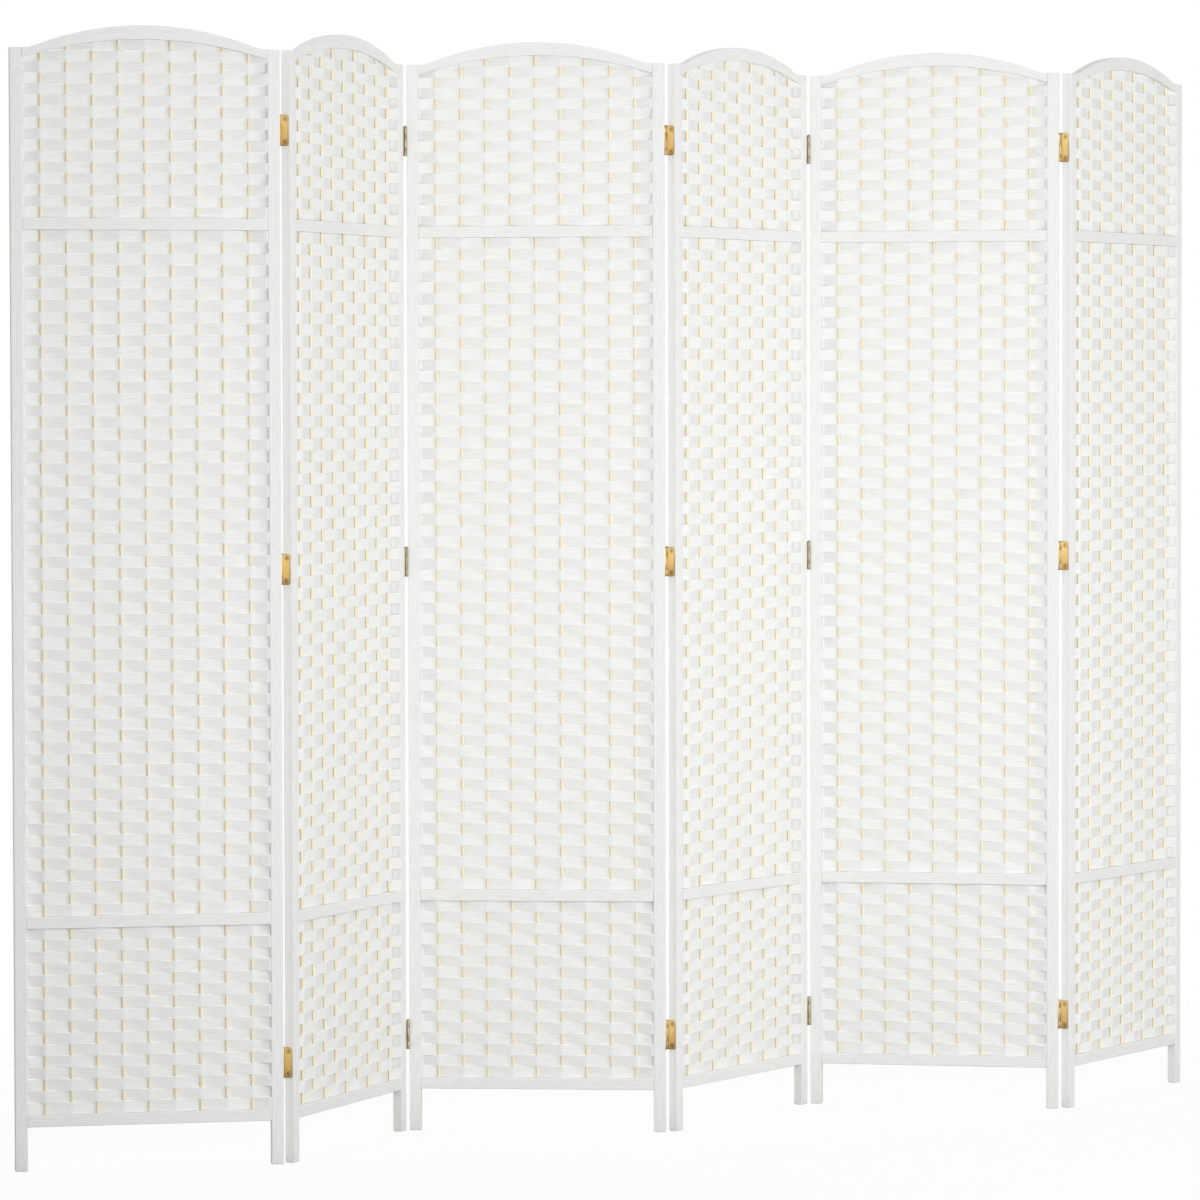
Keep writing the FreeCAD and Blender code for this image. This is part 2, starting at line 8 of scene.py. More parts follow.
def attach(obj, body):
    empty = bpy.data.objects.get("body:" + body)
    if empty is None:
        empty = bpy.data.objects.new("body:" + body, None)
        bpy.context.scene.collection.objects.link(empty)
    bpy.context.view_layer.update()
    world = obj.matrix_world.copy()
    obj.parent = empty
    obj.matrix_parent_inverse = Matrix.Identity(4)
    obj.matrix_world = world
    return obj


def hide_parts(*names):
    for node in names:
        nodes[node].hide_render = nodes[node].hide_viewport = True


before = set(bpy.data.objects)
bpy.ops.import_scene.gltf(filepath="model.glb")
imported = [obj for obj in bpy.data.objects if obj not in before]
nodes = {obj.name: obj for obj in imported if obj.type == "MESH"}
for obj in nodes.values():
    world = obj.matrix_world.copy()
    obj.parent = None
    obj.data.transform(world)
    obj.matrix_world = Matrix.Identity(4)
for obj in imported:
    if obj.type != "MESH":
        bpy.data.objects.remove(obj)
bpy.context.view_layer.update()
scene = bpy.context.scene
scene.view_settings.view_transform = "Standard"

panels = range(1, 7)
print("frame loaded:", len(nodes), "nodes")


# where each panel stands: local x runs along it, y away from the front, z up

def pointsOf(node):
    mesh = nodes[node].data
    flat = np.empty(len(mesh.vertices) * 3, np.float32)
    mesh.vertices.foreach_get("co", flat)
    return flat.reshape(-1, 3).astype(float)


def panelAxes(panel):
    # the long way of the bottom rail in plan, and the point midway between its ends
    plan = pointsOf(f"panel_{panel}_bottom_rail")[:, :2]
    along = np.linalg.svd(plan - plan.mean(0), full_matrices=False)[2][0]
    along = along * np.sign(along[0])
    across = np.array([-along[1], along[0]])
    spot = plan @ np.stack([along, across], 1)
    middle = (spot.min(0) + spot.max(0)) / 2
    return {"along": along, "across": across, "middle": middle[0] * along + middle[1] * across}


axes = {panel: panelAxes(panel) for panel in panels}


def toPanel(panel, points):
    # row frame to panel: the plan distance from the panel's middle along both its axes
    a = axes[panel]
    plan = points[..., :2] - a["middle"]
    return np.stack([plan @ a["along"], plan @ a["across"], points[..., 2]], -1)


def toRow(panel, x, y, z):
    # panel to row frame: middle + x * along + y * across in plan, z as it is
    a = axes[panel]
    x, y, z = np.broadcast_arrays(x, y, z)
    plan = a["middle"] + x[..., None] * a["along"] + y[..., None] * a["across"]
    return np.concatenate([plan, z[..., None]], -1)


def localBox(panel, label):
    # lowest and highest corners of a node, along the panel's own axes
    spot = toPanel(panel, pointsOf(f"panel_{panel}_{label}"))
    return spot.min(0), spot.max(0)


stileLow, stileHigh = localBox(1, "right_stile")
railLow, railHigh = localBox(1, "bottom_rail")
crossLow, crossHigh = localBox(1, "cross_rails")
stickLow, stickHigh = localBox(1, "sticks")
crownPeak = localBox(1, "crown_rail")[1][2]
railHeight = railHigh[2] - railLow[2]
innerHalf = stileLow[0]               # from the panel's middle to a stile's inner face
halfDepth = stileHigh[1]
shoulder = stileHigh[2]
print("panel inner half width %.4f, shoulder %.4f, crown top %.4f" % (innerHalf, shoulder, crownPeak))


# mesh helpers

def newPiece(name, points, faces, uv, body, slot, stoodFor, material):
    # faces: lists of corner numbers; uv: one pair for each corner of each face, in face order
    mesh = bpy.data.meshes.new(name)
    mesh.from_pydata(points.tolist(), [], faces)
    layer = mesh.uv_layers.new(name="wrap")
    layer.data.foreach_set("uv", np.asarray(uv, np.float32).ravel())
    mesh.shade_smooth()
    mesh.materials.append(material)
    piece = bpy.data.objects.new(name, mesh)
    scene.collection.objects.link(piece)
    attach(piece, body)
    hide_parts(stoodFor)
    return piece


def crease(piece, degrees):
    # edges that turn by more stay crisp, the others are shaded smooth
    piece.data.set_sharp_from_angle(angle=math.radians(degrees))


def closedTube(rings, uv):
    # rings: station by outline point. Quads join neighbouring rings, the last point joins the first,
    # and one face closes each end. uv has one point more than the ring, for the far side of the seam.
    stations, count = rings.shape[:2]
    s, p = np.meshgrid(np.arange(stations - 1), np.arange(count), indexing="ij")
    q = (p + 1) % count
    here, there = s * count, (s + 1) * count
    quads = np.stack([here + p, here + q, there + q, there + p], -1).reshape(-1, 4)
    ends = [list(range(count))[::-1], list(range((stations - 1) * count, stations * count))]
    sideUv = np.stack([uv[s, p], uv[s, p + 1], uv[s + 1, p + 1], uv[s + 1, p]], 2).reshape(-1, 2)
    endUv = np.concatenate([uv[0, :count][::-1], uv[-1, :count]])
    return rings.reshape(-1, 3), quads.tolist() + ends, np.concatenate([sideUv, endUv])


def joinParts(parts):
    # several (points, faces, uv) sets as one, with the corner numbers moved on
    points, faces, uv = zip(*parts)
    starts = np.cumsum([0] + [len(own) for own in points[:-1]]).tolist()
    moved = [[corner + start for corner in face] for own, start in zip(faces, starts) for face in own]
    return np.concatenate(points), moved, np.concatenate(uv)


def roundedOutline(width, depth, radius, at):
    # walks round a rectangle with rounded corners; at is the share of the way round.
    # Along a side the centre of the corner circle moves, round a corner only the angle turns.
    a, b = width / 2 - radius, depth / 2 - radius
    arc = radius * math.pi / 2
    stops = np.concatenate([[0], np.cumsum([2 * b, arc, 2 * a, arc, 2 * b, arc, 2 * a, arc])])
    walk = (at % 1) * stops[-1]
    turn = np.interp(walk, stops, np.array([0, 0, 1, 1, 2, 2, 3, 3, 4]) * math.pi / 2)
    cx = np.interp(walk, stops, [a, a, a, -a, -a, -a, -a, a, a])
    cy = np.interp(walk, stops, [-b, b, b, b, b, -b, -b, -b, -b])
    normal = np.stack([np.cos(turn), np.sin(turn)], -1)
    return np.stack([cx, cy], -1) + radius * normal, normal


# node helpers

def newMaterial(name):
    material = bpy.data.materials.new(name)
    material.use_nodes = True
    tree = material.node_tree
    return material, tree, tree.nodes["Principled BSDF"]


def finishNode(node, material):
    nodes[node].data.materials.clear()
    nodes[node].data.materials.append(material)


def link(tree, source, target):
    tree.links.new(source, target)


def addNode(tree, kind, **settings):
    node = tree.nodes.new(kind)
    for key, value in settings.items():
        if key in node.inputs:
            node.inputs[key].default_value = value
        else:
            setattr(node, key, value)
    return node


def math2(tree, operation, first, second=None):
    node = addNode(tree, "ShaderNodeMath", operation=operation)
    for socket, value in zip(node.inputs, (first, second)):
        if value is None:
            continue
        if isinstance(value, (int, float)):
            socket.default_value = value
        else:
            link(tree, value, socket)
    return node.outputs[0]


def mapped(tree, value, low, high, first, last):
    # value from low to high becomes first to last, and stays there beyond
    node = addNode(tree, "ShaderNodeMapRange")
    for socket, number in zip(("From Min", "From Max", "To Min", "To Max"), (low, high, first, last)):
        node.inputs[socket].default_value = number
    link(tree, value, node.inputs["Value"])
    return node.outputs["Result"]


def ramp(tree, factor, stops):
    # stops: (place, colour) pairs, the lowest and the highest first
    node = addNode(tree, "ShaderNodeValToRGB")
    elements = node.color_ramp.elements
    for number, (place, colour) in enumerate(stops):
        element = elements[number] if number < 2 else elements.new(place)
        element.position = place
        element.color = (*colour, 1)
    link(tree, factor, node.inputs["Fac"])
    return node.outputs["Color"]


def mixColour(tree, kind, factor, first, second):
    node = addNode(tree, "ShaderNodeMix", data_type="RGBA", blend_type=kind)
    colours = [s for s in node.inputs if s.name in ("A", "B") and s.type == "RGBA"]
    for socket, value in zip([node.inputs[0]] + colours, (factor, first, second)):
        if isinstance(value, (int, float)):
            socket.default_value = value
        else:
            link(tree, value, socket)
    return [s for s in node.outputs if s.type == "RGBA"][0]


def wrapUv(tree):
    # the two numbers of the piece's own uv map
    uv = addNode(tree, "ShaderNodeUVMap", uv_map="wrap")
    split = addNode(tree, "ShaderNodeSeparateXYZ")
    link(tree, uv.outputs[0], split.inputs[0])
    return split.outputs[0], split.outputs[1]


def drawnNoise(tree, across, along, steps, detail, roughness):
    # noise on the uv map; steps: how fast it changes across and along
    place = addNode(tree, "ShaderNodeCombineXYZ")
    link(tree, math2(tree, "MULTIPLY", across, steps[0]), place.inputs[0])
    link(tree, math2(tree, "MULTIPLY", along, steps[1]), place.inputs[1])
    noise = addNode(tree, "ShaderNodeTexNoise", Scale=1.0, Detail=detail, Roughness=roughness)
    link(tree, place.outputs[0], noise.inputs["Vector"])
    return noise.outputs["Fac"]


def solidNoise(tree, steps, detail, roughness):
    # noise through the solid; steps: how fast it changes along each axis, to the metre
    place = addNode(tree, "ShaderNodeTexCoord")
    stretch = addNode(tree, "ShaderNodeMapping", Scale=steps)
    link(tree, place.outputs["Object"], stretch.inputs["Vector"])
    noise = addNode(tree, "ShaderNodeTexNoise", Scale=1.0, Detail=detail, Roughness=roughness)
    link(tree, stretch.outputs["Vector"], noise.inputs["Vector"])
    return noise.outputs["Fac"]


def addBump(tree, shader, height, strength, distance):
    bump = addNode(tree, "ShaderNodeBump", Strength=strength, Distance=distance)
    link(tree, height, bump.inputs["Height"])
    link(tree, bump.outputs["Normal"], shader.inputs["Normal"])


def seenStraight(tree):
    # 1 for what the camera sees, also in gloss and through glass; 0 for light that falls on the screen
    seen = addNode(tree, "ShaderNodeLightPath")
    shown = math2(tree, "MAXIMUM", seen.outputs["Is Camera Ray"], seen.outputs["Is Glossy Ray"])
    return math2(tree, "MAXIMUM", shown, seen.outputs["Is Transmission Ray"])


# white paper cord, laid side by side along every bar of the frame and along every strip

cordPaper = {
    "frame": {"light": (0.838, 0.839, 0.824), "shade": (0.782, 0.783, 0.768),
              "ribDepth": 0.0, "valleyShadeTone": 0.86},
    "strip": {"light": (0.847, 0.857, 0.842), "shade": (0.787, 0.796, 0.781),
              "ribDepth": 0.00018, "valleyShadeTone": 0.92},
    "mottle": (0.9, 40.0),            # steps of noise for a cord across and for a metre along
    "mottleStops": (0.25, 0.6),       # where the mottling is all shade and all light
    "fibre": (8.0, 260.0),
    "fibreDepth": 0.0001,
    "twistsPerMetre": 420.0,
    "twistDepth": 0.00012,
    "valleyEnd": 0.55,
    "roughness": (0.62, 0.84),
    "specular": 0.25,
    "cordsPerStrip": 6,
}


def cordMaterial(name, finish):
    # uv: u counts cords across, v is metres along them
    material, tree, shader = newMaterial(name)
    across, along = wrapUv(tree)
    # round cord: 1 on its crest, 0 in the valley beside it
    crest = math2(tree, "PINGPONG", across, 0.5)
    crest = math2(tree, "MULTIPLY", crest, 2.0)
    crest = math2(tree, "POWER", crest, 0.5)
    # the twist of the paper runs slantwise over each cord
    slant = math2(tree, "ADD", math2(tree, "MULTIPLY", along, cordPaper["twistsPerMetre"]), across)
    twist = math2(tree, "PINGPONG", slant, 0.5)
    # mottled paper, and fibres drawn out along the cord
    mottle = drawnNoise(tree, across, along, cordPaper["mottle"], detail=4.0, roughness=0.6)
    fibre = drawnNoise(tree, across, along, cordPaper["fibre"], detail=3.0, roughness=0.55)
    allShade, allLight = cordPaper["mottleStops"]
    paper = ramp(tree, mottle, [(allShade, finish["shade"]), (allLight, finish["light"])])
    # painted shade in the valleys between the cords
    valleyShade = ramp(tree, crest, [(0.0, (finish["valleyShadeTone"],) * 3), (cordPaper["valleyEnd"], (1, 1, 1))])
    link(tree, mixColour(tree, "MULTIPLY", 1.0, paper, valleyShade), shader.inputs["Base Color"])
    shader.inputs["Specular IOR Level"].default_value = cordPaper["specular"]
    link(tree, mapped(tree, fibre, 0.0, 1.0, *cordPaper["roughness"]), shader.inputs["Roughness"])
    height = math2(tree, "MULTIPLY", crest, finish["ribDepth"])
    height = math2(tree, "ADD", height, math2(tree, "MULTIPLY", twist, cordPaper["twistDepth"]))
    height = math2(tree, "ADD", height, math2(tree, "MULTIPLY", fibre, cordPaper["fibreDepth"]))
    addBump(tree, shader, height, strength=1.0, distance=1.0)
    return material


framePaper = cordMaterial("framePaper", cordPaper["frame"])
stripPaper = cordMaterial("stripPaper", cordPaper["strip"])


# natural sticks

stickWood = {
    "pale": (0.90, 0.82, 0.62),
    "warm": (0.77, 0.66, 0.46),
    "grain": (900.0, 900.0, 14.0),    # steps of noise to the metre, drawn out upwards
    "grainStops": (0.3, 0.62),        # where the grain is all warm and all pale
    "grainStrength": 0.6,
    "grainDepth": 0.0002,
    "roughness": 0.5,
    "specular": 0.35,
}


def stickMaterial():
    # grain drawn out along the upright sticks
    material, tree, shader = newMaterial("paleStick")
    grain = solidNoise(tree, stickWood["grain"], detail=5.0, roughness=0.6)
    allWarm, allPale = stickWood["grainStops"]
    wood = ramp(tree, grain, [(allWarm, stickWood["warm"]), (allPale, stickWood["pale"])])
    link(tree, wood, shader.inputs["Base Color"])
    shader.inputs["Roughness"].default_value = stickWood["roughness"]
    shader.inputs["Specular IOR Level"].default_value = stickWood["specular"]
    addBump(tree, shader, grain, stickWood["grainStrength"], stickWood["grainDepth"])
    return material


paleStick = stickMaterial()
for panel in panels:
    finishNode(f"panel_{panel}_sticks", paleStick)
print("sticks finished")


# brass hinges: leaves with rounded corners, barrels round the pins, and screws with a sunk cross

brass = {
    "bright": (0.76, 0.64, 0.37),
    "warm": (0.56, 0.42, 0.21),
    "tarnishAndShade": (0.22, 0.13, 0.05),
    "barrel": (0.33, 0.28, 0.20),
    "barrelWorn": (0.19, 0.15, 0.09),
    "paintedTopLight": (0.08, 0.45),             # how bright the leaf is at its foot and at its top: painted shade low down, painted light towards the top
    "tarnishAndShadeReach": 0.0022,               # how far the brown reaches in from an edge or a screw: tarnish along the edges, painted shade round the screws
    "edgeShare": 0.5,
    "patches": (120.0, 120.0, 55.0),  # steps of noise to the metre
    "patchShare": 0.6,
    "brush": (2400.0, 2400.0, 60.0),
    "brushStrength": 0.4,
    "brushDepth": 0.00005,
    "roughness": (0.30, 0.53),
}
hinge = {
    "levels": (0.151, 0.891, 1.546),
    "height": 0.046,
    "thickness": 0.0012,
    "margin": 0.0025,                 # from the stile's face to the leaf's free edge
    "cornerRadius": 0.0024,
    "leafInset": np.array([0.0, 0.0, 0.12, 0.4, 1.9]) * 0.001,
    "leafRise": np.array([0.0, 0.72, 0.92, 1.0, 1.0]),
    "barrelRadius": 0.0022,
    "barrelShape": np.array([0.55, 0.92, 1.0, 1.0, 0.92, 0.55]),
    "barrelEase": 0.0003,
    "barrelAway": 0.0015,             # from the stile's edge to the pin's middle
    "endBarrel": 0.0115,
    "barrelGap": 0.0003,
    "pinGap": 0.0004,                 # from the leaf to the middle of the pin
    "leafPoints": 48,
    "barrelPoints": 20,
    "creaseAngle": 35.0,
}
hingeScrew = {
    "reach": 0.017,                   # above and below the leaf's middle
    "points": 24,
    "radius": np.array([2.55, 2.5, 2.1, 1.45, 1.15, 0.7]) * 0.001,
    "rise": np.array([-0.3, 0.06, 0.2, 0.24, 0.05, -0.5]) * 0.001,
    "cross": np.array([0.0, 0.0, 0.0, 0.0, 0.3, 0.45]),
    "rim": 0.0026,
    # colours from the middle outwards, by share of the rim: painted shade in the cross and on the head, a
    # painted highlight in the bright band, and a painted shadow round the rim
    "rings": [(0.42, (0.03, 0.018, 0.008)), (1.0, (0.12, 0.07, 0.025)),
              (0.56, (0.12, 0.075, 0.035)), (0.66, (0.80, 0.66, 0.40)),
              (0.84, (0.86, 0.74, 0.48)), (0.94, (0.30, 0.20, 0.08))],
    "dulled": (0.7, 0.66, 0.6),
    "seed": 300,
    "mostTurn": 3.0,
}
leafReach = hinge["barrelRadius"] - hinge["pinGap"]
leafMiddle = (leafReach + hinge["margin"]) / 2          # leaf's middle, counted from the stile's
leafHalf = halfDepth + (leafReach - hinge["margin"]) / 2


def brassColour(tree, amount):
    # from tarnish and painted shade through warm to bright as the amount grows
    return ramp(tree, amount, [(0.05, brass["tarnishAndShade"]), (0.95, brass["bright"]), (0.5, brass["warm"])])


def brushedFinish(tree, shader):
    # fine upright brush lines in the gloss and the bump
    brush = solidNoise(tree, brass["brush"], detail=2.0, roughness=0.5)
    link(tree, mapped(tree, brush, 0.0, 1.0, *brass["roughness"]), shader.inputs["Roughness"])
    addBump(tree, shader, brush, brass["brushStrength"], brass["brushDepth"])
    shader.inputs["Metallic"].default_value = 1.0


def patchesOf(tree):
    # slow patches of wear
    return solidNoise(tree, brass["patches"], detail=4.0, roughness=0.55)


def leafMaterial():
    # uv: u across the leaf and v up it, in metres from its middle; on the barrels v is a metre more.
    # Bright in the middle, painted light towards the top and painted shade low down, brown tarnish along the
    # edges, and painted shade round the screws.
    material, tree, shader = newMaterial("leafBrass")
    across, up = wrapUv(tree)
    halfHeight = hinge["height"] / 2
    upAway = math2(tree, "ABSOLUTE", up)
    fromSide = math2(tree, "SUBTRACT", leafHalf, math2(tree, "ABSOLUTE", across))
    fromEnd = math2(tree, "SUBTRACT", halfHeight, upAway)
    toScrew = math2(tree, "ABSOLUTE", math2(tree, "SUBTRACT", upAway, hingeScrew["reach"]))
    sideways = math2(tree, "ABSOLUTE", math2(tree, "ADD", across, leafMiddle))
    squares = [math2(tree, "POWER", leg, 2.0) for leg in (toScrew, sideways)]
    fromScrew = math2(tree, "SQRT", math2(tree, "ADD", *squares))
    fromScrew = math2(tree, "SUBTRACT", fromScrew, hingeScrew["radius"][0])
    # brown tarnish along the sides and ends, and painted shade round the screws
    edge = math2(tree, "MINIMUM", math2(tree, "MINIMUM", fromSide, fromEnd), fromScrew)
    clearOfTarnishAndShade = mapped(tree, edge, 0.0, brass["tarnishAndShadeReach"], 0.0, brass["edgeShare"])
    # painted light: the leaf is lit towards its top and shaded towards its foot
    paintedTopLight = mapped(tree, up, -halfHeight, halfHeight, *brass["paintedTopLight"])
    patches = patchesOf(tree)
    worn = math2(tree, "MULTIPLY", math2(tree, "SUBTRACT", patches, 0.5), brass["patchShare"])
    amount = math2(tree, "ADD", math2(tree, "ADD", paintedTopLight, clearOfTarnishAndShade), worn)
    onBarrel = mapped(tree, up, 0.4, 0.6, 0.0, 1.0)     # v is near 0 on the leaf and near 1 on a barrel
    rubbed = ramp(tree, patches, [(0.3, brass["barrelWorn"]), (0.5, brass["barrel"])])
    colour = mixColour(tree, "MIX", onBarrel, brassColour(tree, amount), rubbed)
    link(tree, colour, shader.inputs["Base Color"])
    brushedFinish(tree, shader)
    return material


def screwMaterial():
    # uv: v is the distance from the screw's middle in metres; painted shade in the cross and a painted shadow
    # round the rim, with a painted highlight between
    material, tree, shader = newMaterial("screwBrass")
    away = math2(tree, "MULTIPLY", wrapUv(tree)[1], 1 / hingeScrew["rim"])
    paintedShadeAndHighlight = ramp(tree, away, hingeScrew["rings"])
    dulled = ramp(tree, patchesOf(tree), [(0.3, hingeScrew["dulled"]), (0.6, (1, 1, 1))])
    link(tree, mixColour(tree, "MULTIPLY", 1.0, paintedShadeAndHighlight, dulled), shader.inputs["Base Color"])
    brushedFinish(tree, shader)
    return material


def edgeFrame(panel, edge, out, across, up):
    # out from the stile's edge face, across it towards the pin, up.
    # The left edge is the right one turned half round.
    pinSide = 1.0 if panel % 2 else -1.0
    x, y = stileHigh[0] + out, pinSide * across
    turn = 1.0 if edge == "right" else -1.0
    return toRow(panel, turn * x, turn * y, up)


def handed(panel, part):
    # across runs the other way on even panels, so their faces are turned over
    points, faces, uv = part
    if panel % 2:
        return part
    corners = np.cumsum([0] + [len(face) for face in faces])
    order = np.concatenate([np.arange(start, end)[::-1] for start, end in zip(corners[:-1], corners[1:])])
    return points, [face[::-1] for face in faces], uv[order]


def leafPart(panel, edge, level):
    # the leaf's outline in rings: straight up its side, over a small bevel, and in over the face
    free, pin = -halfDepth + hinge["margin"], halfDepth + leafReach
    around = np.arange(hinge["leafPoints"]) / hinge["leafPoints"]
    outline, normal = roundedOutline(pin - free, hinge["height"], hinge["cornerRadius"], around)
    flat = outline - hinge["leafInset"][:, None, None] * normal
    rise = hinge["leafRise"] * hinge["thickness"]
    rings = edgeFrame(panel, edge, rise[:, None], (free + pin) / 2 + flat[..., 0], level + flat[..., 1])
    return handed(panel, closedTube(rings, np.concatenate([flat, flat[:, :1]], 1)))


def barrelPart(panel, edge, level, low, high):
    # a turned barrel round the pin with eased ends
    turn = 2 * math.pi * np.arange(hinge["barrelPoints"]) / hinge["barrelPoints"]
    radius = hinge["barrelRadius"] * hinge["barrelShape"]
    ease = hinge["barrelEase"]
    up = np.array([low, low, low + ease, high - ease, high, high])
    across = radius[:, None] * np.sin(turn)
    rings = edgeFrame(panel, edge, hinge["barrelAway"] + radius[:, None] * np.cos(turn),
                      halfDepth + hinge["barrelRadius"] + across, (level + up)[:, None])
    seam = np.append(np.arange(hinge["barrelPoints"]), 0)
    uv = np.stack(np.broadcast_arrays(across[:, seam], up[:, None] + 1), -1)
    return handed(panel, closedTube(rings, uv))


def screwPart(panel, edge, level, turned):
    # a low round head: rings by radius; near the middle the radius swells four times round into a cross
    turn = 2 * math.pi * np.arange(hingeScrew["points"]) / hingeScrew["points"]
    swell = 1 + hingeScrew["cross"][:, None] * np.cos(4 * turn)
    radius = hingeScrew["radius"][:, None] * swell
    rings = edgeFrame(panel, edge, hinge["thickness"] + hingeScrew["rise"][:, None],
                      radius * np.cos(turn + turned), level + radius * np.sin(turn + turned))
    uv = np.stack(np.broadcast_arrays(np.append(turn, 2 * math.pi), hingeScrew["radius"][:, None]), -1)
    return handed(panel, closedTube(rings, uv))


leafBrass, screwBrass = leafMaterial(), screwMaterial()
half, endBarrel, gap = hinge["height"] / 2, hinge["endBarrel"], hinge["barrelGap"]
outerBarrels = ((-half, endBarrel - half), (half - endBarrel, half))
innerBarrels = ((endBarrel + gap - half, half - endBarrel - gap),)
for panel in panels:
    body = f"panel_{panel}"
    leaves, screws = [], []
    draw = np.random.default_rng(hingeScrew["seed"] + panel)
    for edge in ["left"] * (panel > 1) + ["right"] * (panel < len(panels)):
        for level in hinge["levels"]:
            leaves.append(leafPart(panel, edge, level))
            for low, high in outerBarrels if panel % 2 else innerBarrels:
                leaves.append(barrelPart(panel, edge, level, low, high))
            for side in (-1, 1):
                turned = draw.uniform(0, hingeScrew["mostTurn"])
                screws.append(screwPart(panel, edge, level + side * hingeScrew["reach"], turned))
    piece = newPiece(f"hingeLeaves{panel}", *joinParts(leaves), body, "hinges",
                     f"{body}_hinge_leaves", leafBrass)
    crease(piece, hinge["creaseAngle"])
    newPiece(f"hingeScrews{panel}", *joinParts(screws), body, "screws", f"{body}_hinge_screws", screwBrass)
    if f"{body}_hinge_pins" in nodes:
        finishNode(f"{body}_hinge_pins", screwBrass)
print("hinges finished")


# bars of the frame: a rounded bar covered with cords that lie along it

bar = {
    "edgeRadius": 0.0014,
    "cordPitch": 0.0029,
    "cordDepth": 0.00035,
    "pointsPerCord": 4,
    "wander": 0.0004,                 # sideways drift of the cords
    "wanderRates": [7.0, 17.0, 41.0],  # radians to the metre
    "wanderShares": np.array([0.5, 0.3, 0.2]),
    "stationGap": 0.055,
    "endInset": 0.0016,
    "endTurns": np.radians([0, 30, 60]),
    "creaseAngle": 60.0,              # keeps the flat ends crisp
}


def cordOutline(width, depth, shift):
    # the bar's outline drawn in between the cords: inset = depth * (1 - half circle over a cord's width).
    # shift, one number for each station, slides the cords sideways round the bar.
    around = 2 * (width + depth) - (8 - 2 * math.pi) * bar["edgeRadius"]
    cords = round(around / bar["cordPitch"])
    count = cords * bar["pointsPerCord"]
    share = np.arange(count) / count
    over = (share * cords) % 1
    inset = bar["cordDepth"] * (1 - np.sqrt(1 - (2 * over - 1) ** 2))
    place, normal = roundedOutline(width, depth, bar["edgeRadius"], share + shift[:, None] / around)
    return place - inset[:, None] * normal, normal


def evenStations(length):
    # even steps along a bar with square ends
    return np.linspace(0, length, max(2, round(length / bar["stationGap"])) + 1)


def roundedStations(length):
    # even steps along the bar, with a quarter circle of insets at each end
    radius = bar["edgeRadius"]
    step = radius * (1 - np.cos(bar["endTurns"]))
    draw = np.minimum(radius * (1 - np.sin(bar["endTurns"])), bar["endInset"])
    inner = evenStations(length)[1:-1]
    along = np.concatenate([step, [radius], inner, [length - radius], (length - step)[::-1]])
    inset = np.concatenate([draw, np.zeros(len(along) - 2 * len(draw)), draw[::-1]])
    return along, inset


def wanderAlong(stations, seed):
    # a slow sideways drift of the cords: a few sines of seeded phase
    phase = np.random.default_rng(seed).uniform(0, 2 * math.pi, len(bar["wanderRates"]))
    waves = np.sin(np.outer(stations, bar["wanderRates"]) + phase)
    return bar["wander"] * waves @ bar["wanderShares"]


def wrapBar(name, panel, label, rings, along):
    # u counts the cords round the bar, v is the way along it
    cords = np.arange(rings.shape[1] + 1) / bar["pointsPerCord"]
    uv = np.stack(np.broadcast_arrays(cords, along[:, None]), -1)
    body = f"panel_{panel}"
    piece = newPiece(f"{name}{panel}", *closedTube(rings, uv), body, "frame", f"{body}_{label}", framePaper)
    crease(piece, bar["creaseAngle"])


def makeStile(panel, side, seed):
    # the cord outline of the stile carried up it, drawn in at the foot and the top
    low, high = localBox(panel, f"{side}_stile")
    up, inset = roundedStations(high[2] - low[2])
    outline, normal = cordOutline(high[0] - low[0], high[1] - low[1], wanderAlong(up, seed))
    outline = outline - inset[:, None, None] * normal
    middle = (low + high) / 2
    rings = toRow(panel, middle[0] + outline[..., 0], middle[1] + outline[..., 1], (low[2] + up)[:, None])
    wrapBar(f"{side}Stile", panel, f"{side}_stile", rings, up)


def makeRail(panel, name, label, level, seed):
    # the cord outline of the rail carried from stile to stile
    run = evenStations(2 * innerHalf)
    outline = cordOutline(2 * halfDepth, railHeight, wanderAlong(run, seed))[0]
    rise = level + railHeight / 2 + outline[..., 1]
    wrapBar(name, panel, label, toRow(panel, (run - innerHalf)[:, None], outline[..., 0], rise), run)


crown = {
    "shoulderRadius": 0.060,
    "endHeight": 0.0155,
    "innerRise": 0.0285,
    "stations": 64,
}
crownRise = crownPeak - shoulder
crownInnerTop = shoulder - crown["endHeight"] + crown["innerRise"]
archRadius = (innerHalf ** 2 + crownRise ** 2) / (2 * crownRise) - crown["shoulderRadius"]
innerRadius = (innerHalf ** 2 + crown["innerRise"] ** 2) / (2 * crown["innerRise"])


def crownTop(x):
    # one round arch, which turns into a hollow circle level with the shoulder at each end
    turnAt = innerHalf * archRadius / (archRadius + crown["shoulderRadius"])
    arch = crownPeak - archRadius + np.sqrt(archRadius ** 2 - np.minimum(np.abs(x), turnAt) ** 2)
    away = np.clip(innerHalf - np.abs(x), 0, innerHalf - turnAt)
    hollow = shoulder + crown["shoulderRadius"] - np.sqrt(crown["shoulderRadius"] ** 2 - away ** 2)
    return np.where(np.abs(x) < turnAt, arch, hollow)


def crownUnder(x):
    # one flat arc from stile to stile
    return crownInnerTop - innerRadius + np.sqrt(innerRadius ** 2 - x ** 2)


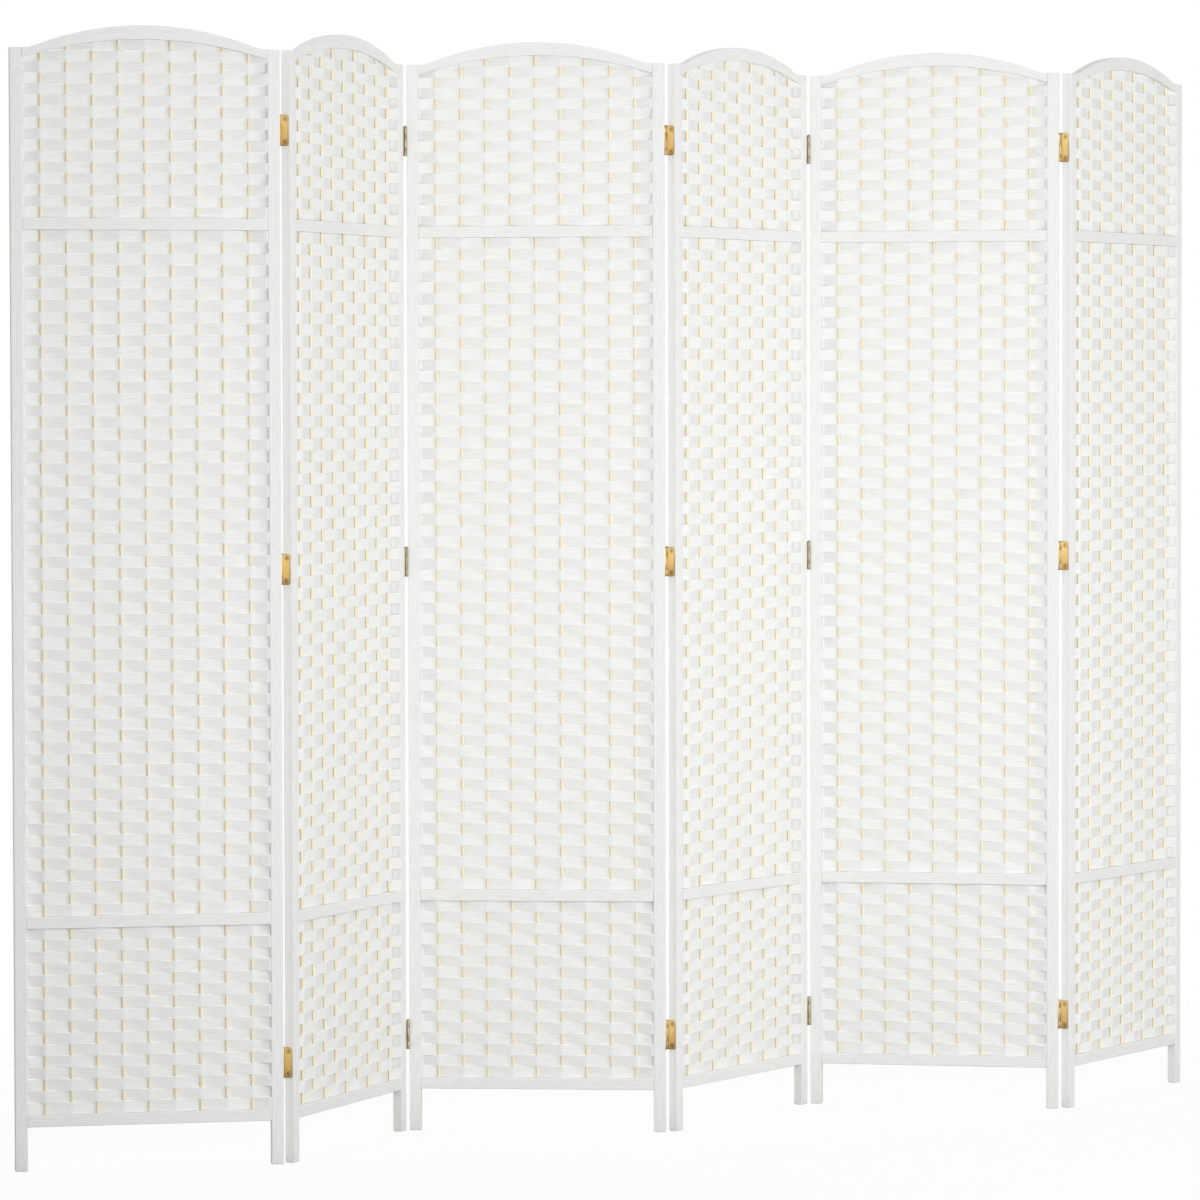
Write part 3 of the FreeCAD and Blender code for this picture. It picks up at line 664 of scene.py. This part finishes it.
def makeCrown(panel, seed):
    # upright sections of the board, each stretched between the inner arc and the outer curve
    run = np.linspace(-innerHalf, innerHalf, crown["stations"] + 1)
    middleHeight = crownPeak - crownInnerTop
    outline = cordOutline(2 * halfDepth, middleHeight, wanderAlong(run, seed))[0]
    top, under = crownTop(run)[:, None], crownUnder(run)[:, None]
    rise = (top + under) / 2 + outline[..., 1] * (top - under) / middleHeight
    rings = toRow(panel, run[:, None], outline[..., 0], rise)
    wrapBar("crownRail", panel, "crown_rail", rings, run + innerHalf)


for panel in panels:
    seed = 10 * panel
    makeStile(panel, "left", seed)
    makeStile(panel, "right", seed + 1)
    makeCrown(panel, seed + 2)
    makeRail(panel, "bottomRail", "bottom_rail", railLow[2], seed + 3)
    makeRail(panel, "lowerRail", "cross_rails", crossLow[2], seed + 4)
    makeRail(panel, "upperRail", "cross_rails", crossHigh[2] - railHeight, seed + 5)
print("frames wrapped")


# woven strips

weave = {
    # rows in the bottom, middle and top fields, and whether a field's lowest row lets the odd sticks show
    "rows": {1: (16, 59, 16), 2: (16, 59, 16), 3: (16, 59, 16),
             4: (17, 59, 16), 5: (16, 59, 16), 6: (17, 59, 16)},
    "oddFirst": {1: (1, 1, 1), 2: (1, 1, 1), 3: (1, 1, 0),
                 4: (1, 0, 1), 5: (1, 1, 0), 6: (1, 0, 1)},
    "sticks": 9,
    "thickness": 0.0009,
    "rowGap": 0.0001,
    "swing": 0.0031,                  # from the sticks' middle to the strip's middle
    "bend": 0.0016,                   # half the width of the bend round a stick
    "edgeFront": 0.0064,              # how far before and behind the panel's middle plane strips meet a stile
    "edgeBack": 0.0062,
    "edgeLead": 0.003,
    "tuck": 0.0018,                   # how far a strip goes into a stile, and the top ones into the crown
    "wave": 0.00055,
    "unevenness": 0.05,
    "shortEnd": 0.001,                # under the arch: the least run at a strip's end, and its least height
    "leastHeight": 0.0002,
    "creaseAngle": 4.0,               # stiff paper: flat runs that fold at the sticks
    "cordStep": 20,                   # moves the paper's pattern on from strip to strip
    "alongStep": 1.37,
    "seed": 41,
}
stickRadius = stickHigh[1]
stickPlaces = np.linspace(stickLow[0] + stickRadius, stickHigh[0] - stickRadius, weave["sticks"])


def stripLine(oddShows, swing):
    # plan of strips from stile to stile: straight runs between short bends round the sticks.
    # oddShows: one flag for each strip; swing: strip by stick, how far each bend stands out.
    n = np.arange(-1, weave["sticks"] + 1)
    side = np.where((n % 2 == 0) != oddShows[:, None], -1.0, 1.0)
    pitch, bend = stickPlaces[1] - stickPlaces[0], weave["bend"]
    slope = 2 * weave["swing"] / (pitch - bend)
    drop = bend * slope / 4
    bendX = stickPlaces[:, None] + bend * np.array([-1, 1])
    bendY = np.repeat(side[:, 1:-1] * (swing - drop), 2, axis=1)
    lead = weave["edgeLead"]
    endX = np.array([innerHalf - lead, innerHalf + weave["tuck"]])
    edge = np.where(side < 0, -weave["edgeFront"], weave["edgeBack"])
    endY = edge[..., None] - side[..., None] * np.array([lead * slope, 0])
    x = np.concatenate([-endX[::-1], bendX.ravel(), endX])
    y = np.concatenate([endY[:, 0, ::-1], bendY, endY[:, -1]], 1)
    return x, y


def stripMesh(panel, x, y, low, high, number, base, pitch):
    # each strip is a flat ribbon: at every station four corners, front low, front high, back high and
    # back low, set half the thickness either side of the plan line along its normal.
    # uv: u counts cords across, v runs along.
    rows, stations = y.shape
    slope = np.gradient(y, x, axis=1)
    away = weave["thickness"] / 2 / np.sqrt(1 + slope ** 2)
    front, back = (x + away * slope, y - away), (x - away * slope, y + away)
    corners = ((front, low), (front, high), (back, high), (back, low))
    points = np.stack([toRow(panel, *plan, level) for plan, level in corners], 2)
    s, c = np.meshgrid(np.arange(stations - 1), np.arange(4), indexing="ij")
    d = (c + 1) % 4
    quads = np.stack([4 * s + c, 4 * (s + 1) + c, 4 * (s + 1) + d, 4 * s + d], -1).reshape(-1, 4)
    last = 4 * (stations - 1)
    quads = np.concatenate([quads, [[0, 1, 2, 3], [last + 3, last + 2, last + 1, last]]])
    faces = (quads[None] + (4 * stations * np.arange(rows))[:, None, None]).reshape(-1, 4)
    first, perStrip = weave["cordStep"] * number[:, None], cordPaper["cordsPerStrip"]
    lowCord, highCord = ((z - base[:, None]) / pitch * perStrip + first for z in (low, high))
    u = np.stack([lowCord, highCord, highCord, lowCord], -1).reshape(-1)
    along = x + number[:, None] * weave["alongStep"]
    v = np.broadcast_to(along[..., None], (rows, stations, 4)).reshape(-1)
    return points.reshape(-1, 3), faces.tolist(), np.stack([u[faces], v[faces]], -1).reshape(-1, 2)


def fieldParts(panel, low, high, count, oddFirst, rowStart, draw):
    # all the strips of one field; the lines between rows waver a little, those at the rails stay straight
    pitch = (high - low) / count
    row = np.arange(count)
    number, base = row + rowStart, low + pitch * row
    oddShows = (row % 2 == 0) == bool(oddFirst)
    swing = weave["swing"] * (1 + weave["unevenness"] * draw.uniform(-1, 1, (count, weave["sticks"])))
    x, y = stripLine(oddShows, swing)
    knots = np.linspace(-innerHalf, innerHalf, weave["sticks"] + 2)
    waver = weave["wave"] * draw.uniform(-1, 1, (count + 1, len(knots)))
    waver[[0, -1]] = 0
    waver = np.stack([np.interp(x, knots, w) for w in waver])
    lines = low + pitch * np.arange(count + 1)[:, None] + waver
    bottom, top = lines[:-1] + weave["rowGap"] / 2, lines[1:] - weave["rowGap"] / 2
    ceiling = np.full(len(x), high)
    if high == crownInnerTop:
        ceiling = crownUnder(x) + weave["tuck"]
        top = np.minimum(top, ceiling)
    whole = bottom.max(1) < ceiling.min()
    parts = [stripMesh(panel, x, y[whole], bottom[whole], top[whole], number[whole], base[whole], pitch)]
    # under the arch a strip that can't reach the stiles ends where the arc meets its lower edge
    for r in np.flatnonzero(~whole):
        under = base[r] + weave["rowGap"] / 2
        end = math.sqrt(innerRadius ** 2 - (under - weave["tuck"] - crownInnerTop + innerRadius) ** 2)
        short = np.concatenate([[-end], x[np.abs(x) < end - weave["shortEnd"]], [end]])
        shortTop = np.minimum(np.interp(short, x, lines[r + 1]), crownUnder(short) + weave["tuck"])
        shortTop = np.maximum(shortTop, under + weave["leastHeight"])
        line, floor = np.interp(short, x, y[r]), np.full(len(short), under)
        parts.append(stripMesh(panel, short, line[None], floor[None], shortTop[None],
                               number[[r]], base[[r]], pitch))
    return parts


def makeStrips(panel):
    # the three fields between the rails, counted from the lowest row up
    body = f"panel_{panel}"
    draw = np.random.default_rng(weave["seed"] + panel)
    fields = [(railHigh[2], crossLow[2]),
              (crossLow[2] + railHeight, crossHigh[2] - railHeight),
              (crossHigh[2], crownInnerTop)]
    parts, rowStart = [], 0
    for (low, high), count, oddFirst in zip(fields, weave["rows"][panel], weave["oddFirst"][panel]):
        parts += fieldParts(panel, low, high, count, oddFirst, rowStart, draw)
        rowStart += count
    piece = newPiece(f"strips{panel}", *joinParts(parts), body, "strips", f"{body}_strips", stripPaper)
    crease(piece, weave["creaseAngle"])


for panel in panels:
    makeStrips(panel)
print("strips woven")


# floor, world and lights

stage = {
    "floorHalf": 30.0,
    "floorColour": (0.35, 0.35, 0.347),
    "floorRoughness": 0.9,
    "shadowTone": 0.9,
    "shadowShare": 0.11,
    "fadeFrom": 1.0,
    "fadeRadius": 2.4,
    "ambient": 0.40,
}


def makeFloor():
    h = stage["floorHalf"]
    mesh = bpy.data.meshes.new("floor")
    mesh.from_pydata([(-h, -h, 0), (h, -h, 0), (h, h, 0), (-h, h, 0)], [], [(0, 1, 2, 3)])
    material, tree, shader = newMaterial("paleFloor")
    shader.inputs["Base Color"].default_value = (*stage["floorColour"], 1)
    shader.inputs["Roughness"].default_value = stage["floorRoughness"]
    # to the camera the floor is white but for the shadow, which fades into the white further out
    place = addNode(tree, "ShaderNodeTexCoord")
    reach = addNode(tree, "ShaderNodeVectorMath", operation="LENGTH")
    link(tree, place.outputs["Object"], reach.inputs[0])
    fade = mapped(tree, reach.outputs["Value"], stage["fadeFrom"], stage["fadeRadius"],
                  1 - stage["shadowShare"], 1.0)
    white = addNode(tree, "ShaderNodeEmission", Strength=1.0)
    pale = addNode(tree, "ShaderNodeBsdfDiffuse", Color=(*(stage["shadowTone"],) * 3, 1))
    mixed = addNode(tree, "ShaderNodeMixShader")
    link(tree, fade, mixed.inputs[0])
    link(tree, pale.outputs[0], mixed.inputs[1])
    link(tree, white.outputs[0], mixed.inputs[2])
    final = addNode(tree, "ShaderNodeMixShader")
    link(tree, seenStraight(tree), final.inputs[0])
    link(tree, shader.outputs[0], final.inputs[1])
    link(tree, mixed.outputs[0], final.inputs[2])
    link(tree, final.outputs[0], tree.nodes["Material Output"].inputs["Surface"])
    mesh.materials.append(material)
    floor = bpy.data.objects.new("floor", mesh)
    scene.collection.objects.link(floor)


def makeWorld():
    # white where the camera looks, and a soft even light on the screen
    world = bpy.data.worlds.new("studio")
    scene.world = world
    world.use_nodes = True
    tree = world.node_tree
    soft = tree.nodes["Background"]
    soft.inputs["Color"].default_value = (1, 1, 1, 1)
    soft.inputs["Strength"].default_value = stage["ambient"]
    white = addNode(tree, "ShaderNodeBackground", Color=(1, 1, 1, 1))
    mixed = addNode(tree, "ShaderNodeMixShader")
    link(tree, seenStraight(tree), mixed.inputs[0])
    link(tree, soft.outputs[0], mixed.inputs[1])
    link(tree, white.outputs[0], mixed.inputs[2])
    link(tree, mixed.outputs[0], tree.nodes["World Output"].inputs["Surface"])


# camera: where it stands, how it is turned, and its focal length in pixels of a 1200 pixel wide frame

view = {
    "place": (-4.4228, -7.5415, 1.1473),
    "yaw": 29.966,
    "pitch": 2.083,
    "roll": 0.114,
    "focalPixels": 5574.7,
    "framePixels": 1200,
    "sensor": 36.0,
    "clipEnd": 200.0,
}


def placed(place, right, up, back):
    # a turn whose columns are the three directions, then the move to its place
    turn = Matrix([list(row) for row in np.stack([right, up, back], 1)]).to_4x4()
    return Matrix.Translation(place) @ turn


def makeCamera():
    yaw, pitch, roll = (math.radians(view[key]) for key in ("yaw", "pitch", "roll"))
    ahead = np.array([math.sin(yaw) * math.cos(pitch), math.cos(yaw) * math.cos(pitch), -math.sin(pitch)])
    level = np.array([math.cos(yaw), -math.sin(yaw), 0.0])
    down = np.cross(ahead, level)
    right = math.cos(roll) * level + math.sin(roll) * down
    up = math.sin(roll) * level - math.cos(roll) * down
    data = bpy.data.cameras.new("camera")
    data.sensor_width = view["sensor"]
    data.lens = view["focalPixels"] / view["framePixels"] * view["sensor"]
    data.clip_end = view["clipEnd"]
    camera = bpy.data.objects.new("camera", data)
    camera.matrix_world = placed(view["place"], right, up, -ahead)
    scene.collection.objects.link(camera)
    scene.camera = camera


lamps = {
    # right: degrees to the right of the camera's line; away: metres from the aim; spread: degrees
    "side": {"right": 62.0, "away": 3.5, "height": 1.0,
             "width": 4.0, "tall": 2.0, "watts": 35.0, "spread": 180.0},
    "key": {"right": 50.0, "away": 3.8, "height": 1.1,
            "width": 0.7, "tall": 1.2, "watts": 21.0, "spread": 180.0},
    "front": {"right": -2.0, "away": 4.0, "height": 1.0,
              "width": 3.0, "tall": 2.0, "watts": 34.5, "spread": 110.0},
    "backSide": {"right": 238.0, "away": 3.5, "height": 1.0,
                 "width": 4.0, "tall": 2.0, "watts": 50.0, "spread": 180.0},
    "backFill": {"right": 178.0, "away": 4.0, "height": 1.0,
                 "width": 3.0, "tall": 2.0, "watts": 32.0, "spread": 110.0},
    "top": {"right": -75.0, "away": 1.3, "height": 3.0,
            "width": 3.0, "tall": 3.0, "watts": 20.0, "spread": 180.0},
}
lampAim = np.array([1.0, 0.0, 1.0])


def makeLamp(name, lamp):
    # a rectangle of light that faces the aim
    turn = math.radians(view["yaw"] - lamp["right"])
    place = lampAim + lamp["away"] * np.array([-math.sin(turn), -math.cos(turn), 0.0])
    place[2] = lamp["height"]
    data = bpy.data.lights.new(name, "AREA")
    data.shape = "RECTANGLE"
    data.size = lamp["width"]
    data.size_y = lamp["tall"]
    data.energy = lamp["watts"]
    data.spread = math.radians(lamp["spread"])
    light = bpy.data.objects.new(name, data)
    back = (place - lampAim) / np.linalg.norm(place - lampAim)
    side = np.cross([0.0, 0.0, 1.0], back)
    side = side / np.linalg.norm(side)
    light.matrix_world = placed(place.tolist(), side, np.cross(back, side), back)
    light.visible_camera = False
    scene.collection.objects.link(light)


makeFloor()
makeWorld()
makeCamera()
for lampName, lamp in lamps.items():
    makeLamp(lampName, lamp)
print("stage set")
